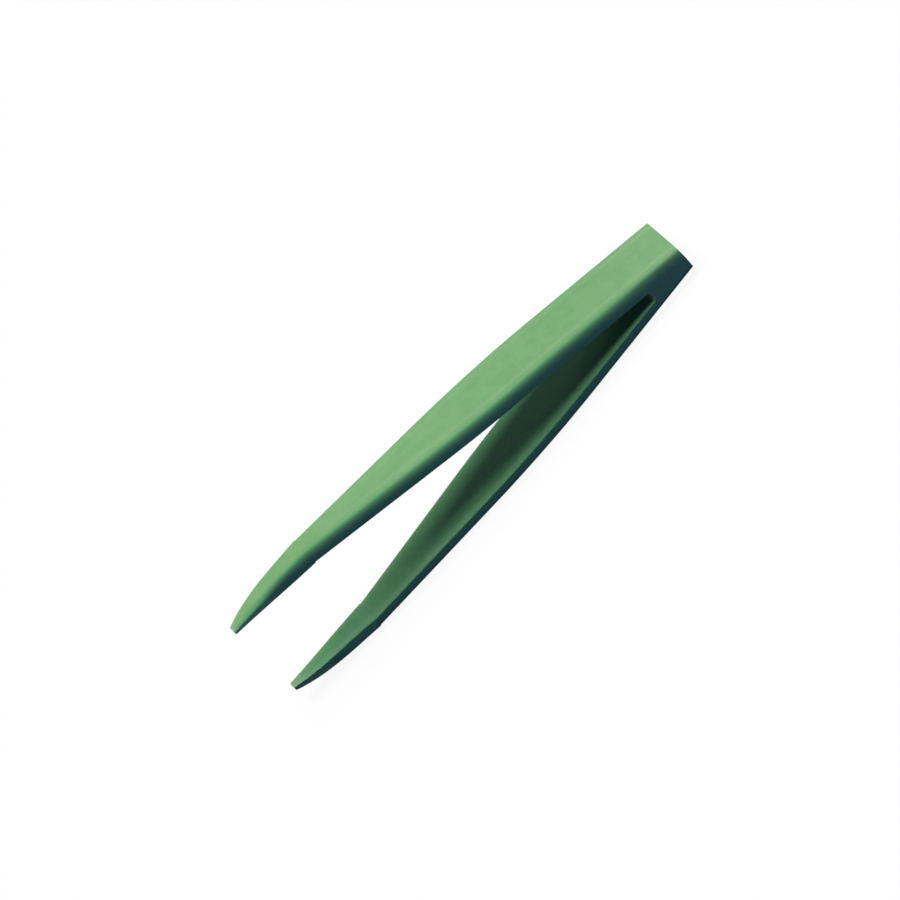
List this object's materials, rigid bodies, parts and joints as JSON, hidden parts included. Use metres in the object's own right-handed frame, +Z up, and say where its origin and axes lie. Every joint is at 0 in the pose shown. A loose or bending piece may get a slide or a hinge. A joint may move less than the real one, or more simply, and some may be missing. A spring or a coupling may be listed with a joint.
{
  "type": "plastic tweezers",
  "caption": "Moulded plastic tweezers with wide flat arms that leave a solid head, taper and curve in to blunt narrow tips, for picking up small parts.",
  "frame": {"origin": "on the ground, under the middle of the piece as it lies on its lower arm", "axes": "+X from the head to the tips, +Y across the width, +Z up, the way the arms open"},
  "size_m": [0.121, 0.014, 0.0321],
  "materials": {
    "tweezers": "fine matt green moulded plastic"
  },
  "bodies": {
    "root": {"tweezers": "tweezers"}
  },
  "joints": []
}
